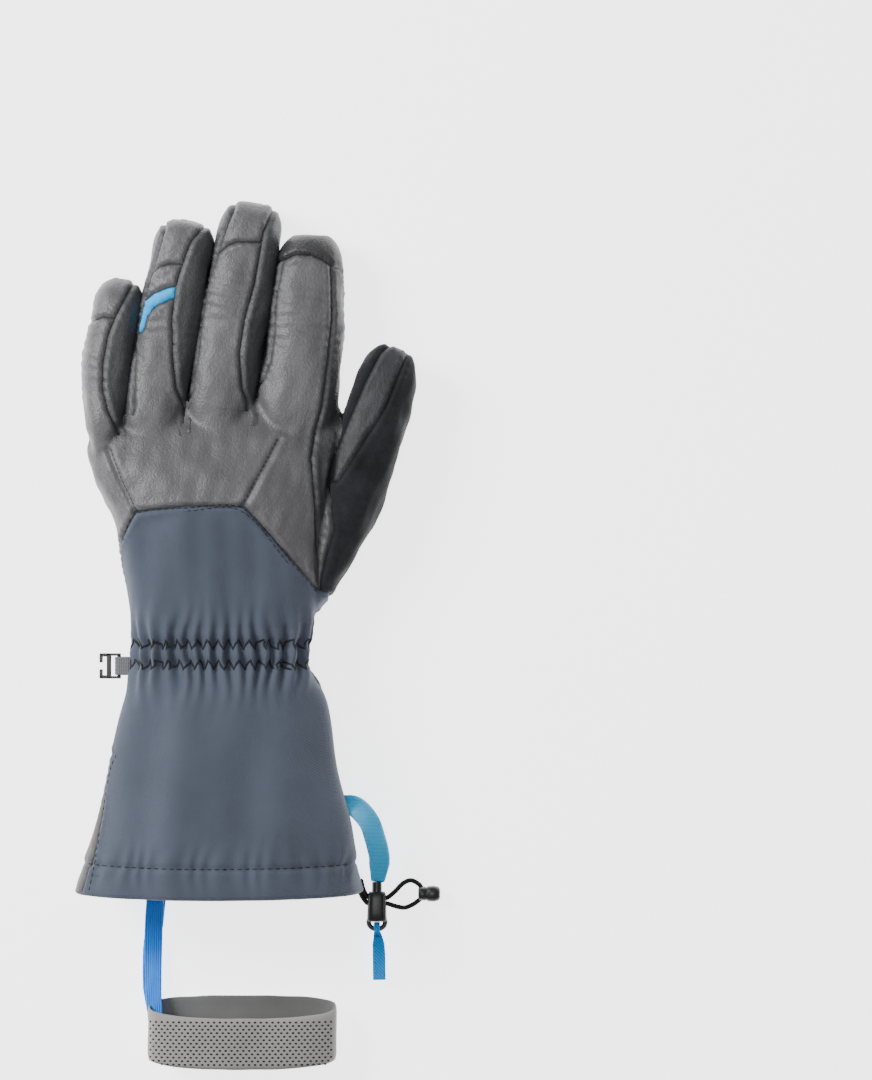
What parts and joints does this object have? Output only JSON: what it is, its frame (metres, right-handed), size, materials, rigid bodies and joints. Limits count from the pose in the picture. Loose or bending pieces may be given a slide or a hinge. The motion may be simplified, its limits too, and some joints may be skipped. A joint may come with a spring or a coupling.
{
  "type": "ski glove",
  "caption": "Insulated left-hand gauntlet ski glove with leather back and palm, woven cuff, hem cord lock, hook clip and wrist leash.",
  "frame": {"origin": "on the lower face of the palm patch, at the middle of the palm, on the surface that the glove lies on", "axes": "+X across the hand to the thumb, +Y from the cuff to the fingertips, +Z out of the back of the hand"},
  "size_m": [0.1798, 0.4309, 0.062],
  "materials": {
    "softshell": "matt woven softshell",
    "back_leather": "soft full-grain goatskin",
    "palm_leather": "smooth goatskin, slightly shiny",
    "thumb_suede": "napped suede",
    "touch_leather": "smooth black leather",
    "grip_textile": "textured grip fabric with a line grid",
    "insulation": "synthetic fill",
    "lining": "brushed fleece",
    "gusset_fabric": "stretch woven",
    "elastic": "knitted elastic",
    "blue_ribbon": "shiny woven ribbon",
    "blue_webbing": "ribbed elastic webbing",
    "grey_webbing": "woven webbing",
    "band_fabric": "perforated stretch fabric",
    "black_plastic": "moulded, satin",
    "black_cord": "round elastic cord",
    "spring_steel": "drawn wire"
  },
  "bodies": {
    "gauntlet": {"gauntlet_top": "softshell", "gauntlet_under": "softshell", "side_gusset": "gusset_fabric", "gauntlet_insulation": "insulation", "gauntlet_lining": "lining", "cuff_hem": "softshell", "wrist_elastic": "elastic", "clip_webbing": "grey_webbing", "tether_ribbon": "blue_ribbon", "hem_cord": "black_cord", "cord_loop": "black_cord", "cord_bead": "black_plastic", "cord_lock_body": "black_plastic", "cord_lock_spring": "spring_steel"},
    "plunger": {"cord_lock_plunger": "black_plastic"},
    "tab": {"pull_tab": "blue_ribbon"},
    "clip": {"hook_clip": "black_plastic"},
    "leash": {"leash_webbing": "blue_webbing", "leash_band": "band_fabric"},
    "hand": {"back_hand": "back_leather", "back_panel": "softshell", "palm_leather": "palm_leather", "palm_patch": "grip_textile", "hand_insulation": "insulation", "hand_lining": "lining"},
    "thumb": {"thumb_back": "thumb_suede", "thumb_palm": "thumb_suede", "thumb_liner": "lining"},
    "thumb_tip": {"thumb_tip_back": "thumb_suede", "thumb_tip_palm": "thumb_suede", "thumb_tip_liner": "lining"},
    "little": {"little_back": "back_leather", "little_palm": "palm_leather", "little_liner": "lining"},
    "little_tip": {"little_tip_back": "back_leather", "little_tip_palm": "palm_leather", "little_tip_liner": "lining"},
    "ring": {"ring_back": "back_leather", "ring_palm": "palm_leather", "ring_liner": "lining", "ring_tape": "blue_ribbon"},
    "ring_tip": {"ring_tip_back": "back_leather", "ring_tip_palm": "palm_leather", "ring_tip_liner": "lining"},
    "middle": {"middle_back": "back_leather", "middle_palm": "palm_leather", "middle_liner": "lining"},
    "middle_tip": {"middle_tip_back": "back_leather", "middle_tip_palm": "palm_leather", "middle_tip_liner": "lining"},
    "index": {"index_back": "back_leather", "index_palm": "palm_leather", "index_liner": "lining"},
    "index_tip": {"index_tip_back": "back_leather", "index_tip_palm": "palm_leather", "index_tip_liner": "lining", "index_tip_cap": "touch_leather"}
  },
  "joints": [
    {"name": "wrist_bend", "type": "hinge", "parent": "gauntlet", "child": "hand", "pos_m": [0, -0.075, 0.021], "axis": [-1, 0, 0], "range_deg": [-32, 32], "stiffness_Nm_per_rad": 0.6},
    {"name": "little_knuckle", "type": "hinge", "parent": "hand", "child": "little", "pos_m": [-0.0585, 0.032, 0.013], "axis": [-0.9988, 0.0499, 0], "range_deg": [0, 60], "stiffness_Nm_per_rad": 0.15},
    {"name": "little_middle_joint", "type": "hinge", "parent": "little", "child": "little_tip", "pos_m": [-0.0567, 0.068, 0.012], "axis": [-0.9932, 0.1164, 0], "range_deg": [0, 64], "stiffness_Nm_per_rad": 0.08},
    {"name": "ring_knuckle", "type": "hinge", "parent": "hand", "child": "ring", "pos_m": [-0.0335, 0.04, 0.013], "axis": [-0.9859, 0.1676, 0], "range_deg": [0, 60], "stiffness_Nm_per_rad": 0.15},
    {"name": "ring_middle_joint", "type": "hinge", "parent": "ring", "child": "ring_tip", "pos_m": [-0.025, 0.09, 0.012], "axis": [-0.9849, 0.1732, 0], "range_deg": [0, 64], "stiffness_Nm_per_rad": 0.08},
    {"name": "middle_knuckle", "type": "hinge", "parent": "hand", "child": "middle", "pos_m": [-0.0025, 0.046, 0.013], "axis": [-0.9854, 0.1705, 0], "range_deg": [0, 60], "stiffness_Nm_per_rad": 0.15},
    {"name": "middle_middle_joint", "type": "hinge", "parent": "middle", "child": "middle_tip", "pos_m": [0.0065, 0.098, 0.012], "axis": [-0.9832, 0.1824, 0], "range_deg": [0, 64], "stiffness_Nm_per_rad": 0.08},
    {"name": "index_knuckle", "type": "hinge", "parent": "hand", "child": "index", "pos_m": [0.036, 0.048, 0.013], "axis": [-0.9899, 0.1414, 0], "range_deg": [0, 60], "stiffness_Nm_per_rad": 0.15},
    {"name": "index_middle_joint", "type": "hinge", "parent": "index", "child": "index_tip", "pos_m": [0.042, 0.09, 0.012], "axis": [-0.9954, 0.0961, 0], "range_deg": [0, 64], "stiffness_Nm_per_rad": 0.08},
    {"name": "thumb_swing", "type": "hinge", "parent": "hand", "child": "thumb", "pos_m": [0.0495, -0.01, 0.008], "axis": [0, 1, 0], "range_deg": [0, 30], "stiffness_Nm_per_rad": 0.2},
    {"name": "thumb_middle_joint", "type": "hinge", "parent": "thumb", "child": "thumb_tip", "pos_m": [0.075, 0.034, 0.014], "axis": [-0.9627, 0.2705, 0], "range_deg": [0, 30], "stiffness_Nm_per_rad": 0.08},
    {"name": "clip_turn", "type": "hinge", "parent": "gauntlet", "child": "clip", "pos_m": [-0.0508, -0.0825, 0.021], "axis": [0, 1, 0], "range_deg": [-75, 75]},
    {"name": "lock_press", "type": "slide", "parent": "gauntlet", "child": "plunger", "axis": [0, -1, 0], "range_m": [0, 0.0016], "stiffness_N_per_m": 400},
    {"name": "tab_swing", "type": "hinge", "parent": "gauntlet", "child": "tab", "pos_m": [0.077, -0.2134, 0.0044], "axis": [-1, 0, 0], "range_deg": [0, 70]},
    {"name": "leash_swing", "type": "hinge", "parent": "gauntlet", "child": "leash", "pos_m": [-0.0335, -0.189, 0.0104], "axis": [0, 0, 1], "range_deg": [-25, 12]}
  ]
}
